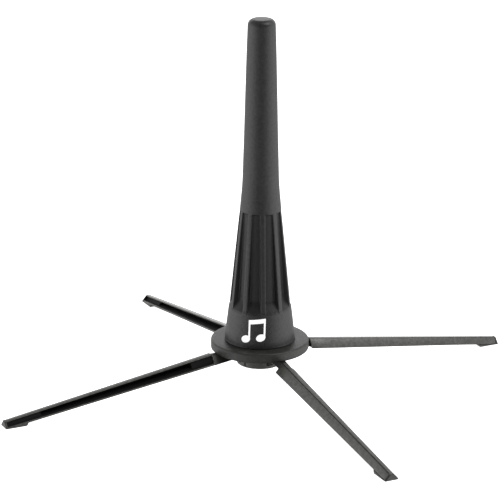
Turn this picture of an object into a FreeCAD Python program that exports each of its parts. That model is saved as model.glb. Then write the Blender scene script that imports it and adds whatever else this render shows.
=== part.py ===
import FreeCAD, Part
import math
import os
import re

import Sketcher

# In-bell trumpet stand: a hollow ribbed peg on a round flange, over a hub with four folding legs.
#
# Millimetres, +Z up, origin on the ground under the peg's axis, first leg along +X.  Each leg turns
# up about a pin in the hub once the peg and its flange have been lifted off, and the four folded
# legs then fit inside the hollow peg.

LEGS = 4
RIBS = 10
QUARTER = 360.0 / LEGS

# Driving dimensions: alias, value in millimetres or degrees, meaning.
SIZES = [
    # peg
    ("peg_top", 185.0, "height of the peg's flat end"),
    ("peg_top_radius", 6.68, "radius at the flat end, before rounding"),
    ("peg_round", 2.9, "edge rounding at the flat end"),
    ("kink_high", 108.5, "upper end of the band that joins the two cones"),
    ("kink_high_radius", 8.79, "radius there"),
    ("kink_low", 99.0, "lower end of that band"),
    ("kink_low_radius", 9.34, "radius there"),
    ("recess_top", 90.0, "top of the spaces between the ribs"),
    ("recess_top_radius", 10.14, "cone radius there"),
    ("recess_floor_top", 9.25, "floor radius at the top of a space"),
    ("recess_drop", 0.4, "height of the step down to the floor"),
    ("recess_low", 46.5, "where the floor starts to ramp out"),
    ("recess_floor_low", 12.0, "floor radius there"),
    ("collar_top", 40.8, "top edge of the smooth collar"),
    ("collar_top_radius", 15.42, "radius there"),
    ("peg_base", 23.4, "underside of the peg, seated in the flange"),
    ("peg_base_radius", 17.22, "radius there"),
    ("skirt_inner", 14.7, "inner radius of the collar's skirt"),
    ("skirt_ceiling", 37.0, "height of the skirt's inner corner"),
    ("bore_low", 42.0, "height where the long bore starts"),
    ("bore_low_radius", 9.9, "bore radius there"),
    ("bore_mid", 90.0, "height of the bore's middle section"),
    ("bore_mid_radius", 7.5, "bore radius there"),
    ("bore_high", 136.0, "height of the bore's upper section"),
    ("bore_high_radius", 6.95, "bore radius there"),
    ("bore_end", 177.0, "top of the bore"),
    ("bore_end_radius", 5.0, "bore radius there"),
    ("rib_width", 2.3, "thickness of a rib"),
    ("rib_low_radius", 15.02, "face of a rib at its foot"),
    ("rib_low", 41.4, "height of that point"),
    ("rib_high", 90.6, "head of a rib, buried in the cone"),
    ("rib_high_radius", 10.0, "face of a rib at its head"),
    ("rib_root", 8.4, "inner radius of a rib's head, inside the wall"),
    ("rib_root_low", 11.0, "inner radius of a rib near its foot"),
    ("rib_foot", 39.6, "foot of a rib, buried in the collar"),
    ("rib_angle", 33.8, "direction of the first rib"),
    ("boss_radius", 1.9, "screw boss inside the skirt"),
    ("boss_head", 40.2, "upper end of a boss, inside the wall"),
    # flange
    ("flange_radius", 24.1, "outer radius"),
    ("flange_top", 23.85, "upper face"),
    ("flange_base", 19.25, "lower face"),
    ("flange_round", 0.9, "rounding of the upper edge"),
    ("flange_edge", 0.4, "rounding of the lower edge"),
    ("seat_inner", 14.6, "inner radius of the groove that seats the peg"),
    ("seat_outer", 17.3, "outer radius of the groove"),
    ("socket_radius", 9.9, "bore that slides over the hub's posts"),
    ("socket_wall", 11.0, "outer radius of the socket"),
    ("socket_top", 33.0, "top of the socket, inside the skirt"),
    ("hollow_inner", 12.0, "inner radius of the hollow underside"),
    ("hollow_outer", 21.5, "outer radius of the hollow underside"),
    ("hollow_top", 21.7, "ceiling of the hollow underside"),
    # screws of the flange
    ("screw_circle", 13.4, "radius of the screw circle"),
    ("screw_shank", 1.2, "shank radius"),
    ("screw_clear", 1.35, "clearance hole radius"),
    ("screw_head", 2.1, "head radius"),
    ("screw_sink", 2.3, "radius of the relief for a head"),
    ("screw_head_low", 20.2, "outer face of the head"),
    ("screw_tip", 34.0, "end of the shank"),
    # hub
    ("hub_radius", 11.5, "outer radius of the hub"),
    ("hub_base", 11.3, "underside of the hub"),
    ("hub_edge", 0.8, "rounding of the lower edge"),
    ("hub_split", 15.8, "parting plane, through the pivot pins"),
    ("shoulder_top", 19.2, "shoulder that carries the flange"),
    ("core_radius", 4.9, "middle of the hub, inside the knuckles"),
    ("core_top", 17.3, "top of that middle"),
    ("plug_radius", 9.84, "outer radius of the posts, inside the socket"),
    ("post_top", 29.0, "top of the four posts"),
    ("post_face", 5.6, "distance of a post's flat faces from the axis"),
    ("slot_half", 1.7, "half width of a leg slot"),
    ("slot_start", 4.5, "inner end of a leg slot, open to the space over the core"),
    ("slot_floor", 12.95, "floor of a slot, the stop for an open leg"),
    ("notch_half", 0.35, "half width of a grip notch"),
    ("notch_depth", 0.9, "depth of a grip notch"),
    ("notch_angle", 24.9, "direction of the first grip notch"),
    # pivots
    ("pivot_radius", 8.2, "distance of a pivot from the axis"),
    ("pin_radius", 1.0, "pin"),
    ("pin_hole", 1.05, "hole in the knuckle, running on the pin"),
    ("pin_half", 4.6, "half length of a pin"),
    # screws of the hub
    ("clamp_circle", 7.6, "radius of the screw circle"),
    ("clamp_shank", 1.25, "shank radius"),
    ("clamp_head", 2.1, "head radius"),
    ("clamp_sink", 2.2, "counterbore radius"),
    ("clamp_seat", 12.7, "floor of the counterbore"),
    ("clamp_low", 11.5, "outer face of the head"),
    ("clamp_tip", 18.6, "end of the shank"),
    # legs: section at the root and at the tip
    ("root_at", 27.0, "inner end of the channel"),
    ("root_top", 19.76, "top of the section at the root"),
    ("root_base", 15.25, "bottom of the section at the root"),
    ("root_narrow", 1.285, "half width of the top strip at the root"),
    ("root_wide", 5.1, "half width of the bottom plate at the root"),
    ("tip_at", 134.5, "outer end of the channel"),
    ("tip_top", 3.23, "top of the section at the tip"),
    ("tip_base", 0.02, "bottom of the section at the tip"),
    ("tip_narrow", 1.05, "half width of the top strip at the tip"),
    ("tip_wide", 3.5, "half width of the bottom plate at the tip"),
    ("sheet", 0.8, "thickness of the sheet"),
    ("web_run", 1.12, "thickness of the sloping web, measured level"),
    ("bend", 0.5, "bevel that stands for the bends' rounding"),
    ("bond", 0.03, "bond line between the sheet and what is fixed in it"),
    # tongue
    ("block_at", 12.8, "inner end of the tongue's block"),
    ("block_end", 26.9, "outer end of the full block, against the channel"),
    ("block_back", 1.45, "flat side of the block, on the web's side"),
    ("block_top", 21.4, "top of the block, inside the flange's hollow"),
    ("block_step", 21.1, "where the top steps down"),
    ("rim_rest", 19.2, "top of the block under the flange's rim"),
    ("spigot_end", 38.0, "end of the spigot inside the channel"),
    ("spigot_back", 1.3, "how far the spigot stands back from the open side"),
    ("knuckle_radius", 2.8, "knuckle round the pin"),
    ("lug_half", 1.6, "half thickness of the lug"),
    ("lug_toe", 11.0, "outer end of the lug's flat underside"),
    ("lug_blend", 17.0, "where the underside meets the block's"),
    ("lug_rise", 19.0, "top of the lug at the block"),
    # foot
    ("plug_at", 117.0, "inner end of the foot's plug"),
    ("foot_gap", 0.2, "fine gap between the channel and the nose"),
    ("foot_end", 135.6, "outer face of the nose"),
    ("sole_start", 124.2, "where the wedge leaves the channel"),
    ("sole_flat", 124.9, "inner end of the flat sole"),
    ("foot_round", 0.6, "rounding of the nose"),
]

doc = FreeCAD.newDocument("TrumpetStand")
sheet = doc.addObject("Spreadsheet::Sheet", "Sizes")
for row, (alias, number, meaning) in enumerate(SIZES, start=1):
    sheet.set(f"A{row}", str(number))
    sheet.setAlias(f"A{row}", alias)
    sheet.set(f"B{row}", meaning)
doc.recompute()
ALIASES = {alias: number for alias, number, meaning in SIZES}


def cells(text):
    """The expression with every alias written as a reference to the sheet."""
    return re.sub(r"[a-z][a-z_]*", lambda word: f"Sizes.{word[0]}" if word[0] in ALIASES else word[0], text)


def value(text):
    """The number that an expression of aliases stands for."""
    return float(sheet.evalExpression(cells(text)))


def bind(thing, **expressions):
    """Bind properties of an object to expressions of the sheet's aliases."""
    for name, text in expressions.items():
        thing.setExpression(name, cells(text))


# ---------------------------------------------------------------- sketches and features

def new_body(label, turn="0"):
    """A body with its own label, turned about +Z."""
    body = doc.addObject("PartDesign::Body", label)
    body.Label = label
    body.setExpression(".Placement.Rotation.Angle", cells(turn))
    return body


def new_sketch(body, name, role, offset=None):
    """An empty sketch on one of the body's origin planes, moved along its normal."""
    sketch = body.newObject("Sketcher::SketchObject", name)
    plane = next(thing for thing in body.Origin.OriginFeatures if thing.Role == role)
    sketch.AttachmentSupport = [(plane, "")]
    sketch.MapMode = "FlatFace"
    if offset:
        sketch.setExpression("AttachmentOffset.Base.z", cells(offset))
    return sketch


def hold(sketch, geometry, point, x, y):
    """Hold a point of the sketch at two bound distances from its origin."""
    for axis, line, text in (("X", -2, x), ("Y", -1, y)):
        number = value(text)
        if number == 0.0:
            sketch.addConstraint(Sketcher.Constraint("PointOnObject", geometry, point, line))
            continue
        ends = (-1, 1, geometry, point) if number > 0.0 else (geometry, point, -1, 1)
        text = text if number > 0.0 else f"-({text})"
        index = sketch.addConstraint(Sketcher.Constraint(f"Distance{axis}", *ends, abs(number)))
        sketch.setExpression(f"Constraints[{index}]", cells(text))


def polygon(body, name, role, corners, offset=None):
    """A closed outline through corners, each given as a pair of expressions."""
    sketch = new_sketch(body, name, role, offset)
    places = [FreeCAD.Vector(value(x), value(y), 0) for x, y in corners]
    count = len(corners)
    for number, place in enumerate(places):
        sketch.addGeometry(Part.LineSegment(place, places[(number + 1) % count]), False)
    for number, (x, y) in enumerate(corners):
        sketch.addConstraint(Sketcher.Constraint("Coincident", number, 2, (number + 1) % count, 1))
        hold(sketch, number, 1, x, y)
    return sketch


def circle(body, name, role, centre, radius, offset=None):
    """A circle with its centre and radius bound."""
    sketch = new_sketch(body, name, role, offset)
    middle = FreeCAD.Vector(value(centre[0]), value(centre[1]), 0)
    sketch.addGeometry(Part.Circle(middle, FreeCAD.Vector(0, 0, 1), value(radius)), False)
    hold(sketch, 0, 3, *centre)
    index = sketch.addConstraint(Sketcher.Constraint("Radius", 0, value(radius)))
    sketch.setExpression(f"Constraints[{index}]", cells(radius))
    return sketch


def feature(body, kind, name, sketch, **settings):
    """A sketch-based feature; text settings are bound to the sheet, others are set."""
    made = body.newObject(f"PartDesign::{kind}", name)
    made.Profile = sketch
    for setting, wanted in settings.items():
        if isinstance(wanted, str) and setting != "Type":
            made.setExpression(setting, cells(wanted))
        else:
            setattr(made, setting, wanted)
    return made


def revolve(body, name, corners, kind="Revolution"):
    """Turn an outline of (radius, height) corners once round the body's Z axis."""
    sketch = polygon(body, f"{name}_outline", "XZ_Plane", corners)
    return feature(body, kind, name, sketch, ReferenceAxis=(sketch, ["V_Axis"]), Angle=360.0)


def round_pattern(body, name, source, count):
    """Repeat a feature round the body's Z axis."""
    pattern = body.newObject("PartDesign::PolarPattern", name)
    axis = next(thing for thing in body.Origin.OriginFeatures if thing.Role == "Z_Axis")
    pattern.Originals = [source]
    pattern.Axis = (axis, [""])
    pattern.Angle = 360.0
    pattern.Occurrences = count
    body.Tip = pattern
    return pattern


def edges_where(shape, test):
    """Names of the edges whose middle point passes the test."""
    names = []
    for number, edge in enumerate(shape.Edges, start=1):
        middle = edge.valueAt((edge.FirstParameter + edge.LastParameter) / 2)
        if test(edge, middle):
            names.append(f"Edge{number}")
    return names


def ring_edges(shape, radius, height):
    """Names of the circular edges at a radius and height."""
    def on_ring(edge, middle):
        is_round = isinstance(edge.Curve, Part.Circle)
        return (is_round and abs(math.hypot(middle.x, middle.y) - radius) < 0.02
                and abs(middle.z - height) < 0.02)
    return edges_where(shape, on_ring)


def fillet(body, name, base, edge_names, radius):
    """Round the named edges of a feature."""
    doc.recompute()
    made = body.newObject("PartDesign::Fillet", name)
    made.Base = (base, edge_names)
    made.setExpression("Radius", cells(radius))
    return made


# ---------------------------------------------------------------- peg and flange

def make_peg_shell():
    """Hollow peg: slim upper cone, ribbed lower cone, smooth collar with a hollow skirt."""
    body = new_body("peg_shell", "rib_angle")
    wall = revolve(body, "peg_wall", [
        ("0", "peg_top"),
        ("peg_top_radius", "peg_top"),
        ("kink_high_radius", "kink_high"),
        ("kink_low_radius", "kink_low"),
        ("recess_top_radius", "recess_top"),
        ("recess_floor_top", "recess_top - recess_drop"),
        ("recess_floor_low", "recess_low"),
        ("collar_top_radius", "collar_top"),
        ("peg_base_radius", "peg_base"),
        ("skirt_inner", "peg_base"),
        ("skirt_inner", "skirt_ceiling"),
        ("bore_low_radius", "bore_low"),
        ("bore_mid_radius", "bore_mid"),
        ("bore_high_radius", "bore_high"),
        ("bore_end_radius", "bore_end"),
        ("0", "bore_end"),
    ])
    doc.recompute()
    end = ring_edges(wall.Shape, value("peg_top_radius"), value("peg_top"))
    fillet(body, "peg_end", wall, end, "peg_round")
    outline = polygon(body, "rib_outline", "XZ_Plane", [
        ("rib_root", "rib_high"),
        ("rib_high_radius", "rib_high"),
        ("rib_low_radius", "rib_low"),
        ("rib_low_radius", "rib_foot"),
        ("recess_floor_low", "rib_foot"),
        ("rib_root_low", "recess_low"),
    ])
    rib = feature(body, "Pad", "rib", outline, Length="rib_width", Midplane=True)
    round_pattern(body, "ribs", rib, RIBS)
    across = f"screw_circle * cos({QUARTER / 2} deg - rib_angle * 1 deg)"
    along = f"screw_circle * sin({QUARTER / 2} deg - rib_angle * 1 deg)"
    foot = circle(body, "boss_outline", "XY_Plane", (across, along), "boss_radius", "flange_top")
    boss = feature(body, "Pad", "boss", foot, Length="boss_head - flange_top")
    round_pattern(body, "bosses", boss, LEGS)
    hole = circle(body, "pilot_outline", "XY_Plane", (across, along), "screw_shank", "flange_top")
    pilot = feature(body, "Pocket", "pilot", hole, Length="screw_tip - flange_top", Reversed=True)
    round_pattern(body, "pilots", pilot, LEGS)
    return body


def make_base_flange():
    """Round flange with a socket for the hub's posts and a hollow underside over the tongues."""
    body = new_body("base_flange")
    disc = revolve(body, "flange_disc", [
        ("socket_radius", "flange_base"),
        ("hollow_inner", "flange_base"),
        ("hollow_inner", "hollow_top"),
        ("hollow_outer", "hollow_top"),
        ("hollow_outer", "flange_base"),
        ("flange_radius", "flange_base"),
        ("flange_radius", "flange_top"),
        ("seat_outer", "flange_top"),
        ("seat_outer", "peg_base"),
        ("seat_inner", "peg_base"),
        ("seat_inner", "flange_top"),
        ("socket_wall", "flange_top"),
        ("socket_wall", "socket_top"),
        ("socket_radius", "socket_top"),
    ])
    doc.recompute()
    upper = ring_edges(disc.Shape, value("flange_radius"), value("flange_top"))
    rounded = fillet(body, "upper_edge", disc, upper, "flange_round")
    doc.recompute()
    lower = ring_edges(rounded.Shape, value("flange_radius"), value("flange_base"))
    fillet(body, "lower_edge", rounded, lower, "flange_edge")
    middle = (f"screw_circle * cos({QUARTER / 2} deg)", f"screw_circle * sin({QUARTER / 2} deg)")
    hole = circle(body, "hole_outline", "XY_Plane", middle, "screw_clear", "flange_base")
    drilled = feature(body, "Pocket", "screw_hole", hole, Length="flange_top - flange_base + 1",
                      Reversed=True)
    round_pattern(body, "screw_holes", drilled, LEGS)
    sink = circle(body, "sink_outline", "XY_Plane", middle, "screw_sink", "flange_base")
    sunk = feature(body, "Pocket", "counterbore", sink, Length="hollow_top - flange_base", Reversed=True)
    round_pattern(body, "counterbores", sunk, LEGS)
    return body


def make_screws(label, circle_radius, shank, head, low, seat, tip):
    """Four pan-head screws pointing up, on a circle between the legs."""
    screws = []
    for number in range(LEGS):
        body = doc.addObject("Part::Cylinder", f"{label}_shank_{number + 1}")
        bind(body, Radius=shank, Height=f"{tip} - {seat}")
        bind(body, **{"Placement.Base.z": seat})
        cap = doc.addObject("Part::Cylinder", f"{label}_head_{number + 1}")
        bind(cap, Radius=head, Height=f"{seat} - {low}")
        bind(cap, **{"Placement.Base.z": low})
        screw = doc.addObject("Part::MultiFuse", f"{label}_{number + 1}")
        screw.Shapes = [body, cap]
        turn = f"{QUARTER * (number + 0.5)} deg"
        bind(screw, **{
            "Placement.Base.x": f"{circle_radius} * cos({turn})",
            "Placement.Base.y": f"{circle_radius} * sin({turn})",
        })
        screws.append(screw)
    group = doc.addObject("Part::Compound", label)
    group.Label = label
    group.Links = screws
    return group


# ---------------------------------------------------------------- hub

def cut_leg_slots(body, low, high):
    """Four radial slots, open at the side and at the top."""
    outline = polygon(body, "slot_outline", "XY_Plane", [
        ("slot_start", "-slot_half"),
        ("hub_radius + 1", "-slot_half"),
        ("hub_radius + 1", "slot_half"),
        ("slot_start", "slot_half"),
    ], low)
    cut = feature(body, "Pocket", "slot", outline, Length=f"{high} - {low}", Reversed=True)
    round_pattern(body, "slots", cut, LEGS)


def cut_pin_grooves(body):
    """Four grooves on the parting plane that trap the pivot pins."""
    outline = circle(body, "groove_outline", "XZ_Plane", ("pivot_radius", "hub_split"), "pin_radius")
    cut = feature(body, "Pocket", "pin_groove", outline, Length="2 * pin_half", Midplane=True)
    round_pattern(body, "pin_grooves", cut, LEGS)


def cut_screw_holes(body, name, radius, low, high):
    """Four round holes for the hub's screws between two heights."""
    middle = (f"clamp_circle * cos({QUARTER / 2} deg)", f"clamp_circle * sin({QUARTER / 2} deg)")
    outline = circle(body, f"{name}_outline", "XY_Plane", middle, radius, low)
    cut = feature(body, "Pocket", name, outline, Length=f"{high} - {low}", Reversed=True)
    round_pattern(body, f"{name}_ring", cut, LEGS)


def cut_notches(body, low, high):
    """Four thin grip notches in the side."""
    reach = "hub_radius - notch_depth"
    corners = [(reach, "-notch_half"), ("hub_radius + 1", "-notch_half"),
               ("hub_radius + 1", "notch_half"), (reach, "notch_half")]
    cosine, sine = "cos(notch_angle * 1 deg)", "sin(notch_angle * 1 deg)"
    places = [(f"({x}) * {cosine} - ({y}) * {sine}", f"({x}) * {sine} + ({y}) * {cosine}")
              for x, y in corners]
    outline = polygon(body, "notch_outline", "XY_Plane", places, low)
    cut = feature(body, "Pocket", "notch", outline, Length=f"{high} - {low}", Reversed=True)
    round_pattern(body, "notches", cut, LEGS)


def make_hub_lower():
    """Round lower half: slots with a stop floor, pin grooves, grip notches and screw seats."""
    body = new_body("hub_lower")
    drum = revolve(body, "drum", [
        ("0", "hub_base"),
        ("hub_radius", "hub_base"),
        ("hub_radius", "hub_split"),
        ("0", "hub_split"),
    ])
    doc.recompute()
    rim = ring_edges(drum.Shape, value("hub_radius"), value("hub_base"))
    fillet(body, "drum_edge", drum, rim, "hub_edge")
    cut_leg_slots(body, "slot_floor", "hub_split")
    cut_pin_grooves(body)
    cut_screw_holes(body, "screw_seat", "clamp_sink", "hub_base", "clamp_seat")
    cut_screw_holes(body, "screw_way", "clamp_shank", "clamp_seat", "hub_split")
    cut_notches(body, "hub_base", "hub_split")
    return body


def make_hub_upper():
    """Upper half: slotted shoulder under the flange, and four posts inside its socket."""
    body = new_body("hub_upper")
    revolve(body, "plug", [
        ("0", "hub_split"),
        ("hub_radius", "hub_split"),
        ("hub_radius", "shoulder_top"),
        ("plug_radius", "shoulder_top"),
        ("plug_radius", "post_top"),
        ("core_radius", "post_top"),
        ("core_radius", "core_top"),
        ("0", "core_top"),
    ])
    cross = polygon(body, "cross_outline", "XY_Plane", [
        ("0", "-post_face"),
        ("plug_radius + 1", "-post_face"),
        ("plug_radius + 1", "post_face"),
        ("0", "post_face"),
    ], "shoulder_top")
    cut = feature(body, "Pocket", "cross", cross, Length="post_top - shoulder_top + 1", Reversed=True)
    round_pattern(body, "crossing", cut, LEGS)
    cut_leg_slots(body, "hub_split", "shoulder_top")
    cut_pin_grooves(body)
    cut_screw_holes(body, "screw_thread", "clamp_shank", "hub_split", "clamp_tip")
    cut_notches(body, "hub_split", "shoulder_top")
    return body


def make_pivot_pin(number):
    """Steel pin, level and square to its leg."""
    pin = doc.addObject("Part::Cylinder", f"pivot_pin_{number + 1}")
    pin.Label = f"pivot_pin_{number + 1}"
    bind(pin, Radius="pin_radius", Height="2 * pin_half")
    turn = f"{QUARTER * number} deg"
    bind(pin, **{
        "Placement.Base.x": f"pivot_radius * cos({turn}) + pin_half * sin({turn})",
        "Placement.Base.y": f"pivot_radius * sin({turn}) - pin_half * cos({turn})",
        "Placement.Base.z": "hub_split",
    })
    level = FreeCAD.Rotation(FreeCAD.Vector(1, 0, 0), -90)
    pin.Placement.Rotation = FreeCAD.Rotation(FreeCAD.Vector(0, 0, 1), QUARTER * number) * level
    return pin


# ---------------------------------------------------------------- legs

def along(root, tip, at):
    """A section size at a distance from the axis, on the straight line from root to tip."""
    return f"({root} + ({tip} - {root}) * ({at} - root_at) / (tip_at - root_at))"


def section(at):
    """Half widths and heights of the leg's trapezoid section at a distance from the axis."""
    return (along("root_narrow", "tip_narrow", at), along("root_wide", "tip_wide", at),
            along("root_top", "tip_top", at), along("root_base", "tip_base", at))


def inner_corners(at, reach, bond="0"):
    """Corners of the space inside the sheet; reach moves its open side outwards."""
    narrow, wide, top, base = section(at)
    slope = f"({wide} - {narrow}) / ({top} - {base})"
    return [
        (f"-{narrow} - (sheet + {bond}) * {slope} + web_run + {bond}", f"{top} - sheet - {bond}"),
        (f"{narrow} + sheet * {slope} + {reach}", f"{top} - sheet - {bond}"),
        (f"{wide} - sheet * {slope} + {reach}", f"{base} + sheet + {bond}"),
        (f"-{wide} + (sheet + {bond}) * {slope} + web_run + {bond}", f"{base} + sheet + {bond}"),
    ]


def block_corners(at):
    """Corners of the tongue's block: the leg's section, cut back on the web's side."""
    narrow, wide, top, base = section(at)
    return [("-block_back", top), (narrow, top), (wide, base), ("-block_back", base)]


def loft(body, name, kind, corners, start, end):
    """Loft between the same kind of section at two distances along the leg."""
    first = polygon(body, f"{name}_start", "YZ_Plane", corners(start), start)
    last = polygon(body, f"{name}_end", "YZ_Plane", corners(end), end)
    made = body.newObject(f"PartDesign::{kind}", name)
    made.Profile = first
    made.Sections = [last]
    made.Ruled = True
    return made


def sheet_corners(at):
    """Corners of the folded sheet, bends bevelled: strip, web, plate, then back along the inside."""
    narrow, wide, top, base = section(at)
    slope = f"({wide} - {narrow}) / ({top} - {base})"
    strip_inner, _, plate_end, web_foot = inner_corners(at, "0")
    return [
        (narrow, top),
        (f"-{narrow} + bend", top),
        (f"-{narrow} - 0.7 * bend * {slope}", f"{top} - 0.7 * bend"),
        (f"-{wide} + 0.7 * bend * {slope}", f"{base} + 0.7 * bend"),
        (f"-{wide} + bend", base),
        (wide, base),
        plate_end,
        web_foot,
        strip_inner,
        (narrow, f"{top} - sheet"),
    ]


def make_leg_channel(number):
    """Folded sheet: narrow top strip, sloping web, wide bottom plate, one side open."""
    body = new_body(f"leg_channel_{number + 1}", f"{QUARTER * number}")
    loft(body, f"folded_sheet_{number + 1}", "AdditiveLoft", sheet_corners, "root_at", "tip_at")
    return body


def make_leg_tongue(number):
    """Moulded tongue: knuckle on the pin, block under the flange, spigot in the channel."""
    body = new_body(f"leg_tongue_{number + 1}", f"{QUARTER * number}")
    loft(body, f"block_{number + 1}", "AdditiveLoft", block_corners, "block_at", "block_end")
    loft(body, f"spigot_{number + 1}", "AdditiveLoft",
         lambda at: inner_corners(at, "(-spigot_back)", "bond"), "block_end - 0.5", "spigot_end")
    under = along("root_base", "tip_base", "lug_blend")
    lug = polygon(body, f"lug_outline_{number + 1}", "XZ_Plane", [
        ("pivot_radius", "hub_split - knuckle_radius"),
        ("lug_toe", "hub_split - knuckle_radius"),
        ("lug_blend", under),
        ("lug_blend", "lug_rise"),
        ("block_at - 0.8", "lug_rise"),
        ("pivot_radius", "hub_split + knuckle_radius"),
    ])
    feature(body, "Pad", f"lug_{number + 1}", lug, Length="2 * lug_half", Midplane=True)
    eye = circle(body, f"knuckle_outline_{number + 1}", "XZ_Plane", ("pivot_radius", "hub_split"),
                 "knuckle_radius")
    feature(body, "Pad", f"knuckle_{number + 1}", eye, Length="2 * lug_half", Midplane=True)
    hole = circle(body, f"pin_hole_outline_{number + 1}", "XZ_Plane", ("pivot_radius", "hub_split"),
                  "pin_hole")
    feature(body, "Pocket", f"pin_hole_{number + 1}", hole, Length="2 * lug_half + 1", Midplane=True)
    relief = polygon(body, f"rim_outline_{number + 1}", "XZ_Plane", [
        ("block_at - 1", "block_top"),
        ("block_step", "block_top"),
        ("block_step", "rim_rest"),
        ("root_at", "rim_rest"),
        ("root_at", "block_top + 1"),
        ("block_at - 1", "block_top + 1"),
    ])
    feature(body, "Pocket", f"rim_relief_{number + 1}", relief, Length="4 * root_wide", Midplane=True)
    return body


def make_foot_cap(number):
    """Moulded foot: plug in the channel, rounded nose, and a wedge with a flat sole."""
    body = new_body(f"foot_cap_{number + 1}", f"{QUARTER * number}")
    loft(body, f"foot_plug_{number + 1}", "AdditiveLoft",
         lambda at: inner_corners(at, "(-spigot_back)", "bond"), "plug_at", "tip_at + 1")
    face = polygon(body, f"nose_outline_{number + 1}", "YZ_Plane", [
        ("-tip_narrow", "tip_top"),
        ("tip_narrow", "tip_top"),
        ("tip_wide", "tip_base + bend"),
        ("tip_wide", "0"),
        ("-tip_wide", "0"),
        ("-tip_wide", "tip_base + bend"),
    ], "tip_at + foot_gap")
    nose = feature(body, "Pad", f"nose_{number + 1}", face, Length="foot_end - tip_at - foot_gap")
    doc.recompute()

    def on_front(edge, middle):
        return abs(middle.x - value("foot_end")) < 0.01 and middle.z > 1.0
    fillet(body, f"nose_round_{number + 1}", nose, edges_where(nose.Shape, on_front), "foot_round")
    wedge = polygon(body, f"wedge_outline_{number + 1}", "XZ_Plane", [
        ("sole_start", along("root_base", "tip_base", "sole_start") + " - bond"),
        ("sole_flat", "0"),
        ("tip_at + 1", "0"),
        ("tip_at + 1", "bond"),
        ("tip_at - 0.6", along("root_base", "tip_base", "(tip_at - 0.6)") + " - bond"),
    ])
    feature(body, "Pad", f"wedge_{number + 1}", wedge, Length="2 * tip_wide", Midplane=True)
    return body


# ---------------------------------------------------------------- build, check and write

nodes = [
    make_peg_shell(),
    make_base_flange(),
    make_screws("flange_screws", "screw_circle", "screw_shank", "screw_head",
                "screw_head_low", "hollow_top", "screw_tip"),
    make_hub_lower(),
    make_hub_upper(),
    make_screws("hub_screws", "clamp_circle", "clamp_shank", "clamp_head",
                "clamp_low", "clamp_seat", "clamp_tip"),
]
for leg in range(LEGS):
    nodes.append(make_pivot_pin(leg))
    nodes.append(make_leg_channel(leg))
    nodes.append(make_leg_tongue(leg))
    nodes.append(make_foot_cap(leg))
doc.recompute()

for thing in doc.Objects:
    if "Invalid" in thing.State or "Error" in thing.State:
        raise SystemExit(f"{thing.Label} failed: {thing.State}")
for node in nodes:
    if node.Shape.isNull() or not node.Shape.isValid():
        raise SystemExit(f"{node.Label} has no valid shape")

os.makedirs("parts", exist_ok=True)
for node in nodes:
    node.Shape.exportStep(f"parts/{node.Label}.step")
    print(f"{node.Label:16s} {len(node.Shape.Solids)} solid(s) {node.Shape.Volume:9.1f} mm3")
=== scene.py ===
import math

import bmesh
import bpy
from mathutils import Matrix, Vector


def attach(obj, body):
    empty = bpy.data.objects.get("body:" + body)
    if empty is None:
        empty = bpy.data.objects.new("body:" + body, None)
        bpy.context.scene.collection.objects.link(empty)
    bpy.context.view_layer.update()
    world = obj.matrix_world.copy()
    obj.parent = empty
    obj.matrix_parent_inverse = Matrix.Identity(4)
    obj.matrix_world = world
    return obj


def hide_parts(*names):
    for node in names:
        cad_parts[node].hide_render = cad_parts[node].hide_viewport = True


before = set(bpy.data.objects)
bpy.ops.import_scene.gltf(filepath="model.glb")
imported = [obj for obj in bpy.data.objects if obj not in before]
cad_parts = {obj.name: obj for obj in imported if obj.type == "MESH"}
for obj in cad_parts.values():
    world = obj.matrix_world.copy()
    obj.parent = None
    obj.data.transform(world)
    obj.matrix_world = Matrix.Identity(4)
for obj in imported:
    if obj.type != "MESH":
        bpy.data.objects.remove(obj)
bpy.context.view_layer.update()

# Looks of the folding in-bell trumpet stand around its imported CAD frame.
#
# Lengths are millimetres in the shared frame, and the meshes are made in metres. Those of the floor,
# the light and the camera are metres throughout.

MM = 0.001
LEGS = 4
QUARTER = 2 * math.pi / LEGS

# ---------------------------------------------------------------- mesh helpers


def lerp_table(table, at):
    """Value at a position on a table of (position, value) pairs in rising order."""
    if at <= table[0][0]:
        return table[0][1]
    for (low, first), (high, last) in zip(table, table[1:]):
        if at <= high:
            return first + (last - first) * (at - low) / (high - low)
    return table[-1][1]


def smooth_table(table, at, reach):
    """The table's value averaged over a short stretch, which rounds its kinks."""
    steps = 8
    samples = [lerp_table(table, at + reach * (2 * k / steps - 1)) for k in range(steps + 1)]
    return sum(samples) / (steps + 1)


def rounded(corners, steps=4):
    """Outline through (x, y, radius) corners, each corner turned into an arc."""
    outline = []
    count = len(corners)
    for index, (x, y, radius) in enumerate(corners):
        here = Vector((x, y))
        before = (Vector(corners[index - 1][:2]) - here).normalized()
        after = (Vector(corners[(index + 1) % count][:2]) - here).normalized()
        if radius <= 0:
            outline.append((x, y))
            continue
        half = before.angle(after) / 2
        centre = here + (before + after).normalized() * radius / math.sin(half)
        start = here + before * radius / math.tan(half) - centre
        end = here + after * radius / math.tan(half) - centre
        sweep = start.angle(end)
        for k in range(steps + 1):
            part = k / steps
            spoke = (start * math.sin((1 - part) * sweep) + end * math.sin(part * sweep)) / math.sin(sweep)
            outline.append(tuple(centre + spoke))
    return outline


def mesh_piece(name, points, faces, body, material, nodes=(), sharp=35.0):
    """A smooth-shaded mesh piece in millimetres that rides on a body and may stand for CAD nodes."""
    mesh = bpy.data.meshes.new(name)
    mesh.from_pydata([[c * MM for c in point] for point in points], [], faces)
    work = bmesh.new()
    work.from_mesh(mesh)
    bmesh.ops.recalc_face_normals(work, faces=work.faces)
    work.to_mesh(mesh)
    work.free()
    mesh.polygons.foreach_set("use_smooth", [True] * len(mesh.polygons))
    mesh.set_sharp_from_angle(angle=math.radians(sharp))
    mesh.materials.append(material)
    piece = bpy.data.objects.new(name, mesh)
    bpy.context.scene.collection.objects.link(piece)
    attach(piece, body)
    if nodes:
        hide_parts(*nodes)
    return piece


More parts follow.
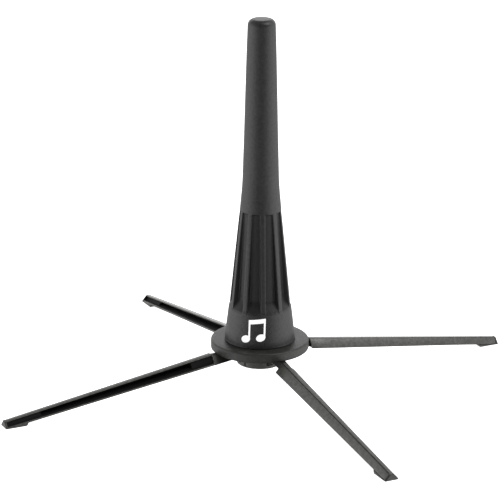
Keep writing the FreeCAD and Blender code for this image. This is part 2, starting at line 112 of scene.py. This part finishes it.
def band_faces(rows, columns, close_rows=False):
    """Quads of a grid whose rows are closed rings."""
    faces = []
    for row in range(rows if close_rows else rows - 1):
        low, high = row * columns, (row + 1) % rows * columns
        for column in range(columns):
            side = (column + 1) % columns
            faces.append((low + column, low + side, high + side, high + column))
    return faces


def capped_tube(rings):
    """Points and faces of closed rings joined in a row, with a face over each end."""
    columns = len(rings[0])
    points = [point for ring in rings for point in ring]
    faces = band_faces(len(rings), columns)
    faces.append(tuple(range(columns)))
    faces.append(tuple(range(len(points) - columns, len(points))))
    return points, faces


# ---------------------------------------------------------------- materials

COAT_ROUGHNESS = 0.25
BROAD_GRAIN = 2.2         # how much coarser the mottling is than the fine grain
FINE_DETAIL = 3.0
BROAD_DETAIL = 5.0
TINT_FROM, TINT_TO = 0.3, 0.7
GLOSS_SPREAD = 0.06
RELIEF_DEPTH = 0.00012    # metres


def node_material(name, color, roughness, specular, grain, bump, mottle, stretch=(1, 1, 1), coat=0.0):
    """Principled material with a fine grain: bump, slight mottling of colour and of roughness."""
    material = bpy.data.materials.new(name)
    material.use_nodes = True
    nodes, links = material.node_tree.nodes, material.node_tree.links
    shader = nodes["Principled BSDF"]
    shader.inputs["Specular IOR Level"].default_value = specular
    if coat:
        shader.inputs["Coat Weight"].default_value = coat
        shader.inputs["Coat Roughness"].default_value = COAT_ROUGHNESS
    place = nodes.new("ShaderNodeTexCoord")
    mapping = nodes.new("ShaderNodeMapping")
    mapping.inputs["Scale"].default_value = stretch
    links.new(place.outputs["Object"], mapping.inputs["Vector"])

    fine = nodes.new("ShaderNodeTexNoise")
    fine.inputs["Scale"].default_value = grain
    fine.inputs["Detail"].default_value = FINE_DETAIL
    links.new(mapping.outputs["Vector"], fine.inputs["Vector"])
    broad = nodes.new("ShaderNodeTexNoise")
    broad.inputs["Scale"].default_value = grain / BROAD_GRAIN
    broad.inputs["Detail"].default_value = BROAD_DETAIL
    links.new(mapping.outputs["Vector"], broad.inputs["Vector"])

    tint = nodes.new("ShaderNodeValToRGB")
    tint.color_ramp.elements[0].position = TINT_FROM
    tint.color_ramp.elements[1].position = TINT_TO
    tint.color_ramp.elements[0].color = [c * (1 - mottle) for c in color] + [1]
    tint.color_ramp.elements[1].color = [c * (1 + mottle) for c in color] + [1]
    links.new(broad.outputs["Fac"], tint.inputs["Fac"])
    links.new(tint.outputs["Color"], shader.inputs["Base Color"])

    gloss = nodes.new("ShaderNodeMapRange")
    gloss.inputs["To Min"].default_value = roughness - GLOSS_SPREAD
    gloss.inputs["To Max"].default_value = roughness + GLOSS_SPREAD
    links.new(fine.outputs["Fac"], gloss.inputs["Value"])
    links.new(gloss.outputs["Result"], shader.inputs["Roughness"])

    relief = nodes.new("ShaderNodeBump")
    relief.inputs["Strength"].default_value = bump
    relief.inputs["Distance"].default_value = RELIEF_DEPTH
    links.new(fine.outputs["Fac"], relief.inputs["Height"])
    links.new(relief.outputs["Normal"], shader.inputs["Normal"])
    return material


# Painted light: the print glows, though it is no lamp, so that it stays near white in the dim front light.
PRINT_PAINTED_GLOW = 0.5            # keeps the print near white in the dim front light

# Each line: name, colour, roughness, specular level, grain scale, bump, mottle.
PEG = node_material("peg_moulding", (0.012, 0.012, 0.0122), 0.42, 0.5, 1700, 1.0, 0.55)
# Painted shade: a darker, duller copy of the peg moulding for the shadow deep in the recesses between the
# ribs.
PAINTED_RECESS_SHADE = node_material("peg_recess_painted_shade", (0.0095, 0.0095, 0.0097), 0.48, 0.36, 1700, 0.9, 0.25)
FLANGE = node_material("flange_moulding", (0.018, 0.018, 0.016), 0.46, 0.5, 1700, 0.9, 0.45)
HUB = node_material("hub_moulding", (0.045, 0.045, 0.040), 0.45, 0.5, 1700, 0.8, 0.2)
PAINT = node_material("powder_coat", (0.052, 0.052, 0.046), 0.34, 0.6, 1300, 0.9, 0.5, coat=0.15)
FOOT = node_material("foot_moulding", (0.022, 0.022, 0.019), 0.34, 0.5, 2200, 0.25, 0.12)
STEEL = node_material("zinc_steel", (0.55, 0.55, 0.56), 0.32, 0.5, 1800, 0.2, 0.08, stretch=(1, 1, 8))
STEEL.node_tree.nodes["Principled BSDF"].inputs["Metallic"].default_value = 1.0
# Near-black material for painted shade and a painted dark reflection: the shadow in the leg channels'
# cavities, on the tongues' set-back sides and on the foot plugs' faces inside the channels, and the dark
# reflection along each strip's bend.
PAINTED_SHADE_AND_DARK_REFLECTION = node_material("painted_shade_and_dark_reflection", (0.004, 0.004, 0.004), 0.7, 0.2, 1500, 0.2, 0.1)
INK = node_material("white_print", (0.86, 0.86, 0.85), 0.45, 0.4, 3000, 0.1, 0.03)
# Painted light: emission on the white print.
INK.node_tree.nodes["Principled BSDF"].inputs["Emission Color"].default_value = (1, 1, 1, 1)
INK.node_tree.nodes["Principled BSDF"].inputs["Emission Strength"].default_value = PRINT_PAINTED_GLOW

# ---------------------------------------------------------------- peg

PEG_TOP = 185.0
PEG_BASE = 23.4
END_ROUND = 2.9
COLLAR_TOP = 41.2
RIBS = 10
RIB_PHASE = math.radians(33.8)
RIB_HALF = 1.15
RIB_EDGE = 0.28
RIB_FILLET = 0.35
RIB_FLAT = (0.45, 0.8)    # points across the flat top of a rib, from its middle
RIB_FOOT_GAP = 0.02       # keeps the flank's last point and the fillet's first apart
SPACE_PARTS = (0.2, 0.4, 0.6, 0.8, 1.0)
RECESS_TOP = 90.2
RECESS_FOOT = 40.7
SLIM_FROM = 95.0          # the slim cone above this height is smoothed over a longer stretch
SLIM_REACH = 3.0
CONE_REACH = 0.3
FLOOR_REACH = 0.9
COLLAR = [(23.4, 17.24), (30.7, 16.6), (41.2, 15.34)]
CONE = [(41.2, 15.16), (68.4, 12.42), (84.9, 10.72), (90.0, 10.14), (99.0, 9.34), (103.8, 8.95),
        (125.7, 8.30), (145.8, 7.80), (165.7, 7.28), (182.1, 6.75), (190.0, 6.50)]
FLOOR = [(40.9, 15.45), (46.1, 12.0), (89.7, 9.25)]
FLOOR_END, FLOOR_END_RADIUS = FLOOR[-1]
PEG_FOOT = [(17.13, 24.62), (17.15, 24.45), (17.34, 24.25), (17.34, 24.02), (17.22, 23.9), (17.22, 23.5),
            (17.12, PEG_BASE)]
BORE = [(14.7, 23.4), (14.7, 37.0), (9.9, 42.0), (9.9, 46.0), (7.5, 90.0), (6.95, 136.0), (5.0, 177.0)]

# Heights of the rings: even steps on the plain stretches, closer where the surface bends.
UPPER_STEP, UPPER_RINGS = 2.6, 35
RECESS_TOP_RINGS = [91.5, 90.9, 90.5, 90.25, 90.05, 89.9, 89.75, 89.5, 89.0, 88.0]
RIBBED_START, RIBBED_STEP, RIBBED_RINGS = 86.0, 2.0, 19
RECESS_FOOT_RINGS = [48.8, 47.8, 47.0, 46.4, 45.8, 45.2, 44.4, 43.6, 42.8, 42.0, 41.5, 41.2, 41.0, 40.85,
                     RECESS_FOOT]
COLLAR_RINGS = [40.4, 40.2, 39.8, 38.6, 36.0, 33.4, 30.7, 28.0, 26.0, 24.9]
PLAIN_HEIGHT = 150.0      # any height above the ribs, for rings without them

# Faces of a pitch that take the painted shade of the recess: its first columns, its last columns, above this
# height.
RECESS_PAINTED_SHADE_FIRST = 8
RECESS_PAINTED_SHADE_LAST = 10
RECESS_PAINTED_SHADE_FROM = 41.6


def cone_radius(height):
    """Outer radius of the peg: smooth collar, small step in, ribbed cone, slim cone."""
    if height <= COLLAR_TOP:
        return lerp_table(COLLAR, height)
    return smooth_table(CONE, height, SLIM_REACH if height > SLIM_FROM else CONE_REACH)


def floor_radius(height):
    """Radius of the floor between the ribs, or the cone's own where there is no recess."""
    if height >= RECESS_TOP or height <= RECESS_FOOT:
        return cone_radius(height)
    if height > FLOOR_END:
        rise = cone_radius(height) - FLOOR_END_RADIUS
        return FLOOR_END_RADIUS + rise * (height - FLOOR_END) / (RECESS_TOP - FLOOR_END)
    return min(smooth_table(FLOOR, height, FLOOR_REACH), cone_radius(height))


def half_pitch(height):
    """(angle, radius) from a rib's middle to the middle of the space beside it."""
    top, floor = cone_radius(height), floor_radius(height)
    scale = min(1.0, (top - floor) / (RIB_EDGE + RIB_FILLET))
    edge, fillet = RIB_EDGE * scale, RIB_FILLET * scale
    places = [(across, top) for across in (0.0,) + RIB_FLAT]
    for turn in (30, 60, 90):
        angle = math.radians(turn)
        places.append((RIB_HALF - RIB_EDGE * (1 - math.sin(angle)), top - edge * (1 - math.cos(angle))))
    for turn in (0, 30, 60, 90):
        angle = math.radians(turn)
        places.append((RIB_HALF + RIB_FILLET * (1 - math.cos(angle)) + RIB_FOOT_GAP,
                       floor + fillet * (1 - math.sin(angle))))
    polar = [(math.asin(across / radius), radius) for across, radius in places]
    last, limit = polar[-1][0], math.pi / RIBS
    polar += [(last + (limit - last) * part, floor) for part in SPACE_PARTS]
    return polar


def peg_ring(height):
    """One closed ring of the ribbed surface."""
    half = half_pitch(height)
    pitch = [(-angle, radius) for angle, radius in reversed(half[1:-1])] + half
    ring = []
    for rib in range(RIBS):
        middle = RIB_PHASE + 2 * math.pi * rib / RIBS
        ring += [(radius * math.cos(middle + angle), radius * math.sin(middle + angle), height)
                 for angle, radius in pitch]
    return ring


def plain_ring(radius, height, columns_of):
    """A round ring with the same column angles as another ring."""
    ring = []
    for x, y, _ in columns_of:
        angle = math.atan2(y, x)
        ring.append((radius * math.cos(angle), radius * math.sin(angle), height))
    return ring


def peg_heights():
    """Heights of the outer rings from the end's rounding down to the base."""
    upper = [PEG_TOP - END_ROUND - UPPER_STEP * k for k in range(UPPER_RINGS)]
    ribbed = [RIBBED_START - RIBBED_STEP * k for k in range(RIBBED_RINGS)]
    return upper + RECESS_TOP_RINGS + ribbed + RECESS_FOOT_RINGS + COLLAR_RINGS


def make_peg():
    """Hollow ribbed peg, with painted shade, a darker and duller copy of its material, on the faces of the
    recesses.
    """
    rings = []
    pattern = peg_ring(PLAIN_HEIGHT)
    shoulder = cone_radius(PEG_TOP - END_ROUND) - END_ROUND
    for turn in range(90, 0, -10):
        angle = math.radians(turn)
        rings.append(plain_ring(shoulder + END_ROUND * math.cos(angle),
                                PEG_TOP - END_ROUND * (1 - math.sin(angle)), pattern))
    rings += [peg_ring(height) for height in peg_heights()]
    for radius, height in PEG_FOOT + BORE:
        rings.append(plain_ring(radius, height, pattern))
    columns = len(pattern)
    points = [point for ring in rings for point in ring]
    faces = band_faces(len(rings), columns)
    top, end = len(points), len(points) + 1
    points += [(0, 0, PEG_TOP), (0, 0, BORE[-1][1])]
    last = (len(rings) - 1) * columns
    for column in range(columns):
        side = (column + 1) % columns
        faces.append((top, column, side))
        faces.append((end, last + side, last + column))
    piece = mesh_piece("peg", points, faces, "peg", PEG, ["peg_shell"], sharp=50)
    # Painted shade on the recess faces between the ribs.
    piece.data.materials.append(PAINTED_RECESS_SHADE)
    pitch = columns // RIBS
    for index, polygon in enumerate(piece.data.polygons):
        height = polygon.center.z / MM
        column = index % columns % pitch
        in_recess_painted_shade = column < RECESS_PAINTED_SHADE_FIRST or column >= pitch - RECESS_PAINTED_SHADE_LAST
        if index < last and in_recess_painted_shade and RECESS_PAINTED_SHADE_FROM < height < RECESS_TOP:
            polygon.material_index = 1
    return piece


# ---------------------------------------------------------------- flange

FLANGE_SIDES = 192
# Corners as (radius, height, rounding).
FLANGE_OUTLINE = [
    (24.12, 19.25, 0.45), (24.12, 23.85, 0.85), (17.36, 23.85, 0.12), (17.36, 23.4, 0), (14.6, 23.4, 0),
    (14.6, 23.85, 0.1), (11.0, 23.85, 0.3), (11.0, 33.0, 0.3), (9.9, 33.0, 0.3), (9.9, 19.25, 0.3),
    (12.0, 19.25, 0.3), (12.0, 21.7, 0.4), (21.5, 21.7, 0.4), (21.5, 19.25, 0.3),
]


def revolved(outline, sides):
    """Points and faces of a closed (radius, height) outline turned once round the axis."""
    rings = []
    for radius, height in outline:
        rings.append([(radius * math.cos(2 * math.pi * k / sides), radius * math.sin(2 * math.pi * k / sides),
                       height) for k in range(sides)])
    points = [point for ring in rings for point in ring]
    return points, band_faces(len(rings), sides, close_rows=True)


def make_flange():
    """Round flange with its hollow underside and socket."""
    points, faces = revolved(rounded(FLANGE_OUTLINE, 6), FLANGE_SIDES)
    return mesh_piece("flange", points, faces, "peg", FLANGE, ["base_flange"], sharp=40)


# ---------------------------------------------------------------- legs

ROOT, TIP = 27.0, 134.5
NARROW = [(ROOT, 1.285), (TIP, 1.05)]
WIDE = [(ROOT, 5.1), (TIP, 3.5)]
TOP = [(ROOT, 19.76), (TIP, 3.23)]
BASE = [(ROOT, 15.25), (TIP, 0.02)]
SHEET = 0.8
STRIP_EDGE, STRIP_BEND = 0.25, 0.6
PLATE_BEND, PLATE_EDGE = 0.28, 0.12
LIP_EDGE = 0.2
LIP_LEAN = 0.4            # share of the web's slope at the plate's free edge
CHAMFER = 0.1             # end faces are this much smaller than the section
CHAMFER_RUN = 0.12
STATIONS = 12
# Columns of a section's outline that take the near-black material: its inside, painted shade for the shadow
# in the channel's cavity, and the strip's bend, a painted dark reflection along the bend.
PAINTED_CAVITY_SHADE_COLUMNS = range(23, 37)
PAINTED_BEND_REFLECTION_COLUMNS = range(5, 8)


def channel_section(along, inset=0.0):
    """Rounded outline of the folded sheet at a distance from the axis."""
    narrow, wide = lerp_table(NARROW, along), lerp_table(WIDE, along)
    top, base = lerp_table(TOP, along) - inset, lerp_table(BASE, along) + inset
    slope = (wide - narrow) / (top - base)
    run = SHEET * math.hypot(1, slope)
    corners = [
        (narrow - inset, top, STRIP_EDGE),
        (-narrow, top, STRIP_BEND),
        (-wide + inset, base, PLATE_BEND),
        (wide - inset, base, PLATE_EDGE),
        (wide - inset - SHEET * slope * LIP_LEAN, base + SHEET, LIP_EDGE),
        (-wide + SHEET * slope + run, base + SHEET, STRIP_EDGE),
        (-narrow - SHEET * slope + run, top - SHEET, LIP_EDGE),
        (narrow - inset, top - SHEET, LIP_EDGE),
    ]
    return rounded(corners, 4)


def turned(points, leg):
    """Points of the first leg turned about the axis to another leg."""
    cosine, sine = round(math.cos(leg * QUARTER)), round(math.sin(leg * QUARTER))
    return [(x * cosine - y * sine, x * sine + y * cosine, z) for x, y, z in points]


def make_channel(leg):
    """One leg's folded sheet."""
    length = TIP - ROOT - 2 * CHAMFER_RUN
    stations = [(ROOT, CHAMFER), (ROOT + CHAMFER_RUN, 0.0)]
    stations += [(ROOT + CHAMFER_RUN + length * k / STATIONS, 0.0) for k in range(1, STATIONS + 1)]
    stations.append((TIP, CHAMFER))
    rings = [[(at, across, height) for across, height in channel_section(at, inset)]
             for at, inset in stations]
    points, faces = capped_tube(rings)
    number = leg + 1
    piece = mesh_piece(f"leg_sheet_{number}", turned(points, leg), faces, f"leg_{number}",
                       PAINT, [f"leg_channel_{number}"], sharp=32)
    piece.data.materials.append(PAINTED_SHADE_AND_DARK_REFLECTION)
    columns = len(rings[0])
    for index, polygon in enumerate(piece.data.polygons):
        # Painted shade on the channel's cavity and a painted dark reflection on the strip's bend.
        dark = index % columns in PAINTED_CAVITY_SHADE_COLUMNS or index % columns in PAINTED_BEND_REFLECTION_COLUMNS
        if dark and index < (len(rings) - 1) * columns:
            polygon.material_index = 1
    return piece


# ---------------------------------------------------------------- printed mark

MARK_ANGLE = math.radians(231.8)
MARK_HEIGHT = 33.0
COLLAR_SLOPE = 0.1
MARK_BACK = 0.005         # gap behind the print
HEAD_TILT = math.radians(22)
HEAD_LONG, HEAD_SHORT = 2.35, 1.75
LEFT_HEAD, RIGHT_HEAD = (-3.6, -4.3), (3.9, -3.3)
LEFT_STEM = (-2.25, -1.4, -4.0, 4.6, 0.1)     # left, right, bottom, top, rise
RIGHT_STEM = (5.25, 6.1, -3.0, 5.6, 0.1)
BEAM = (-2.25, 6.1, 3.2, 5.3, 1.0)
HEAD_PROUD, STEM_PROUD, BEAM_PROUD = 0.05, 0.06, 0.07


def on_collar(across, up, proud):
    """Point on the collar's cone, measured from the mark's middle, as seen from outside."""
    height = MARK_HEIGHT + up * math.cos(math.atan(COLLAR_SLOPE))
    radius = cone_radius(height)
    angle = MARK_ANGLE + across / radius
    radius += proud
    return (radius * math.cos(angle), radius * math.sin(angle), height)


def mark_patch(place, proud, cells=14):
    """Thin closed slab over the unit square mapped to the collar."""
    side = cells + 1
    flat = [place(column / cells, row / cells) for row in range(side) for column in range(side)]
    points = [on_collar(u, v, MARK_BACK) for u, v in flat] + [on_collar(u, v, proud) for u, v in flat]
    count = side * side
    faces = []
    for row in range(cells):
        for column in range(cells):
            corner = row * side + column
            quad = (corner, corner + 1, corner + side + 1, corner + side)
            faces.append(tuple(reversed(quad)))
            faces.append(tuple(index + count for index in quad))
    border = list(range(cells))
    border += [row * side + cells for row in range(cells)]
    border += [cells * side + column for column in range(cells, 0, -1)]
    border += [row * side for row in range(cells, 0, -1)]
    for first, second in zip(border, border[1:] + border[:1]):
        faces.append((first, second, second + count, first + count))
    return points, faces


def oval(centre, long_half, short_half, tilt):
    """Map from the unit square to a tilted oval."""
    def place(a, b):
        x, y = 2 * a - 1, 2 * b - 1
        u = x * math.sqrt(1 - y * y / 2) * long_half
        v = y * math.sqrt(1 - x * x / 2) * short_half
        return (centre[0] + u * math.cos(tilt) - v * math.sin(tilt),
                centre[1] + u * math.sin(tilt) + v * math.cos(tilt))
    return place


def slanted(left, right, bottom, top, rise):
    """Map from the unit square to an upright bar or a slanted beam."""
    def place(a, b):
        return (left + (right - left) * a, bottom + (top - bottom) * b + rise * a)
    return place


def make_mark():
    """Printed pictogram of two beamed notes."""
    shapes = [
        (oval(LEFT_HEAD, HEAD_LONG, HEAD_SHORT, HEAD_TILT), HEAD_PROUD),
        (oval(RIGHT_HEAD, HEAD_LONG, HEAD_SHORT, HEAD_TILT), HEAD_PROUD),
        (slanted(*LEFT_STEM), STEM_PROUD),
        (slanted(*RIGHT_STEM), STEM_PROUD),
        (slanted(*BEAM), BEAM_PROUD),
    ]
    points, faces = [], []
    for place, proud in shapes:
        more, quads = mark_patch(place, proud)
        faces += [tuple(index + len(points) for index in quad) for quad in quads]
        points += more
    return mesh_piece("collar_mark", points, faces, "peg", INK, sharp=30)


# ---------------------------------------------------------------- carried-over CAD nodes

BEVEL_STEPS = 3
BEVEL_FROM = math.radians(35)
FINE_BEVEL, HUB_BEVEL, CAP_BEVEL = 0.1, 0.12, 0.15
# Plug faces inside a channel, and a tongue's set-back side from SET_BACK_FROM to the leg's root, take painted
# shade.
FOOT_PLUG_FROM = 110.0    # between the tongue's spigot and the foot's plug
SET_BACK_FROM = 18.0
END_FACING = 0.7          # faces that look along the leg more than this stay as they are
SIDE_FACING = 0.6


def dress(node, material, width):
    """Give a CAD node its material and a small edge bevel."""
    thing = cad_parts[node]
    thing.data.materials.clear()
    thing.data.materials.append(material)
    bevel = thing.modifiers.new("edges", "BEVEL")
    bevel.width = width * MM
    bevel.segments = BEVEL_STEPS
    bevel.limit_method = "ANGLE"
    bevel.angle_limit = BEVEL_FROM
    bevel.harden_normals = False


def paint_shade_on_hidden(node, leg, inner_end, side_from):
    """Painted shade: the near-black material for a plug's faces inside the channel, and for the set-back side
    between side_from and inner_end."""
    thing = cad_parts[node]
    thing.data.materials.append(PAINTED_SHADE_AND_DARK_REFLECTION)
    spin = Matrix.Rotation(-leg * QUARTER, 3, "Z") @ thing.matrix_world.to_3x3()
    place = Matrix.Rotation(-leg * QUARTER, 4, "Z") @ thing.matrix_world
    for polygon in thing.data.polygons:
        middle, facing = place @ polygon.center, spin @ polygon.normal
        along = middle.x / MM
        over_plate = middle.z / MM > lerp_table(BASE, along)
        in_channel = inner_end < along < TIP and abs(facing.x) < END_FACING and over_plate
        set_back = facing.y < -SIDE_FACING and side_from < along < inner_end
        if in_channel or set_back:
            polygon.material_index = 1


make_peg()
make_flange()
make_mark()
for leg_index in range(LEGS):
    make_channel(leg_index)
    dress(f"leg_tongue_{leg_index + 1}", FOOT, HUB_BEVEL)
    dress(f"foot_cap_{leg_index + 1}", FOOT, CAP_BEVEL)
    dress(f"pivot_pin_{leg_index + 1}", STEEL, FINE_BEVEL)
    # Painted shade on the tongue's set-back side and hidden faces, and on the foot plug's faces inside the
    # channel.
    paint_shade_on_hidden(f"leg_tongue_{leg_index + 1}", leg_index, ROOT, SET_BACK_FROM)
    paint_shade_on_hidden(f"foot_cap_{leg_index + 1}", leg_index, FOOT_PLUG_FROM, FOOT_PLUG_FROM)
dress("hub_lower", HUB, HUB_BEVEL)
dress("hub_upper", HUB, HUB_BEVEL)
dress("hub_screws", STEEL, HUB_BEVEL)
dress("flange_screws", STEEL, HUB_BEVEL)

# ---------------------------------------------------------------- floor, light and camera

VIEW_ANGLE = math.radians(243.8)
VIEW_RISE = math.radians(18.44)
VIEW_DISTANCE = 1.330
VIEW_LENS = 196.3
VIEW_ROLL = math.radians(0.29)
SENSOR_WIDTH = 36.0
CLIP_END = 20.0
TO_CAMERA = Vector((math.cos(VIEW_ANGLE), math.sin(VIEW_ANGLE), 0))
TO_RIGHT = Vector((-math.sin(VIEW_ANGLE), math.cos(VIEW_ANGLE), 0))
LOOK = Vector((0, 0, 0.0693)) - TO_RIGHT * 0.00504    # the point that the camera aims at
LAMP_AIM = Vector((0, 0, 0.08))
FLOOR_HALF = 6.0
FLOOR_DROP = 0.0001
FLOOR_GLOW = 1.0
WHITE_STRENGTH = 1.1

# The tent's grey levels as (position, level) stops. Low and high run from the far side (0) to the
# camera's side (1); poles, split and share run from straight down (0) to straight up (1).
TENT_LOW = [(0.0, 0.2), (0.25, 0.36), (0.42, 0.66), (0.78, 0.72), (0.94, 0.28), (1.0, 0.2)]
TENT_HIGH = [(0.0, 0.7), (0.1, 0.45), (0.2, 0.22), (0.45, 0.6), (0.66, 0.5), (0.84, 0.04), (1.0, 0.015)]
TENT_POLES = [(0.0, 0.06), (0.5, 0.08), (1.0, 0.14)]
TENT_SPLIT = [(0.44, 0.0), (0.52, 1.0)]
TENT_SHARE = [(0.15, 1.0), (0.3, 0.0), (0.66, 0.0), (0.85, 1.0)]
TENT_STRENGTH = 3.2


def make_floor():
    """Plain pale floor that only the camera sees: light rays pass through it."""
    mesh = bpy.data.meshes.new("floor")
    corners = [(-1, -1), (1, -1), (1, 1), (-1, 1)]
    mesh.from_pydata([(x * FLOOR_HALF, y * FLOOR_HALF, -FLOOR_DROP) for x, y in corners], [], [(0, 1, 2, 3)])
    material = node_material("pale_floor", (0.93, 0.93, 0.93), 0.8, 0.1, 60, 0.0, 0.004)
    nodes, links = material.node_tree.nodes, material.node_tree.links
    shader = nodes["Principled BSDF"]
    shader.inputs["Emission Color"].default_value = (1, 1, 1, 1)
    shader.inputs["Emission Strength"].default_value = FLOOR_GLOW
    clear = nodes.new("ShaderNodeBsdfTransparent")
    ray = nodes.new("ShaderNodeLightPath")
    mix = nodes.new("ShaderNodeMixShader")
    links.new(ray.outputs["Is Camera Ray"], mix.inputs["Fac"])
    links.new(clear.outputs["BSDF"], mix.inputs[1])
    links.new(shader.outputs["BSDF"], mix.inputs[2])
    links.new(mix.outputs["Shader"], nodes["Material Output"].inputs["Surface"])
    mesh.materials.append(material)
    floor = bpy.data.objects.new("floor", mesh)
    bpy.context.scene.collection.objects.link(floor)


def softbox(name, side, front, height, width, tall, power):
    """Area light aimed at the middle of the peg; side and front are seen from the camera."""
    light = bpy.data.lights.new(name, "AREA")
    light.shape = "RECTANGLE"
    light.size = width
    light.size_y = tall
    light.energy = power
    lamp = bpy.data.objects.new(name, light)
    place = TO_RIGHT * side + TO_CAMERA * front + Vector((0, 0, height))
    lamp.location = place
    lamp.rotation_euler = (LAMP_AIM - place).to_track_quat("-Z", "Y").to_euler()
    bpy.context.scene.collection.objects.link(lamp)


def ramp(nodes, links, source, stops):
    """Grey level looked up from a value by (position, level) stops."""
    lookup = nodes.new("ShaderNodeValToRGB")
    elements = lookup.color_ramp.elements
    while len(elements) < len(stops):
        elements.new(0.5)
    for element, (position, level) in zip(elements, stops):
        element.position = position
        element.color = (level, level, level, 1)
    links.new(source, lookup.inputs["Fac"])
    return lookup.outputs["Color"]


def blended(nodes, links, factor, first, second):
    """Mix of two grey levels."""
    blend = nodes.new("ShaderNodeMix")
    blend.data_type = "RGBA"
    links.new(factor, blend.inputs["Factor"])
    links.new(first, blend.inputs["A"])
    links.new(second, blend.inputs["B"])
    return blend.outputs["Result"]


def make_world():
    """White for the camera; for the light, a tent of grey levels fixed round the object."""
    world = bpy.data.worlds.new("studio")
    world.use_nodes = True
    nodes, links = world.node_tree.nodes, world.node_tree.links
    output, tent = nodes["World Output"], nodes["Background"]
    place = nodes.new("ShaderNodeTexCoord")
    facing = nodes.new("ShaderNodeVectorMath")
    facing.operation = "DOT_PRODUCT"
    facing.inputs[1].default_value = TO_CAMERA * 0.5
    links.new(place.outputs["Generated"], facing.inputs[0])
    shift = nodes.new("ShaderNodeMath")
    shift.inputs[1].default_value = 0.5
    links.new(facing.outputs["Value"], shift.inputs[0])
    split = nodes.new("ShaderNodeSeparateXYZ")
    links.new(place.outputs["Generated"], split.inputs["Vector"])
    rise = nodes.new("ShaderNodeMapRange")
    rise.inputs["From Min"].default_value = -1.0
    links.new(split.outputs["Z"], rise.inputs["Value"])
    low = ramp(nodes, links, shift.outputs["Value"], TENT_LOW)
    high = ramp(nodes, links, shift.outputs["Value"], TENT_HIGH)
    poles = ramp(nodes, links, rise.outputs["Result"], TENT_POLES)
    around = blended(nodes, links, ramp(nodes, links, rise.outputs["Result"], TENT_SPLIT), low, high)
    whole = blended(nodes, links, ramp(nodes, links, rise.outputs["Result"], TENT_SHARE), around, poles)
    links.new(whole, tent.inputs["Color"])
    tent.inputs["Strength"].default_value = TENT_STRENGTH
    seen = nodes.new("ShaderNodeBackground")
    seen.inputs["Color"].default_value = (1, 1, 1, 1)
    seen.inputs["Strength"].default_value = WHITE_STRENGTH
    ray = nodes.new("ShaderNodeLightPath")
    mix = nodes.new("ShaderNodeMixShader")
    links.new(ray.outputs["Is Camera Ray"], mix.inputs["Fac"])
    links.new(tent.outputs["Background"], mix.inputs[1])
    links.new(seen.outputs["Background"], mix.inputs[2])
    links.new(mix.outputs["Shader"], output.inputs["Surface"])
    bpy.context.scene.world = world


def make_camera():
    """Camera at the solved viewpoint."""
    data = bpy.data.cameras.new("camera")
    data.lens = VIEW_LENS
    data.sensor_width = SENSOR_WIDTH
    data.clip_end = CLIP_END
    camera = bpy.data.objects.new("camera", data)
    back = TO_CAMERA * math.cos(VIEW_RISE) + Vector((0, 0, math.sin(VIEW_RISE)))
    up = TO_RIGHT.cross(back) * -1
    spin = Matrix((TO_RIGHT, up, back)).transposed().to_4x4()
    place = Matrix.Translation(LOOK + back * VIEW_DISTANCE)
    camera.matrix_world = place @ spin @ Matrix.Rotation(VIEW_ROLL, 4, "Z")
    bpy.context.scene.collection.objects.link(camera)
    bpy.context.scene.camera = camera


make_floor()
make_world()
softbox("right_box", side=0.72, front=0.14, height=1.19, width=0.6, tall=0.6, power=7)
make_camera()
bpy.context.scene.view_settings.view_transform = "Standard"
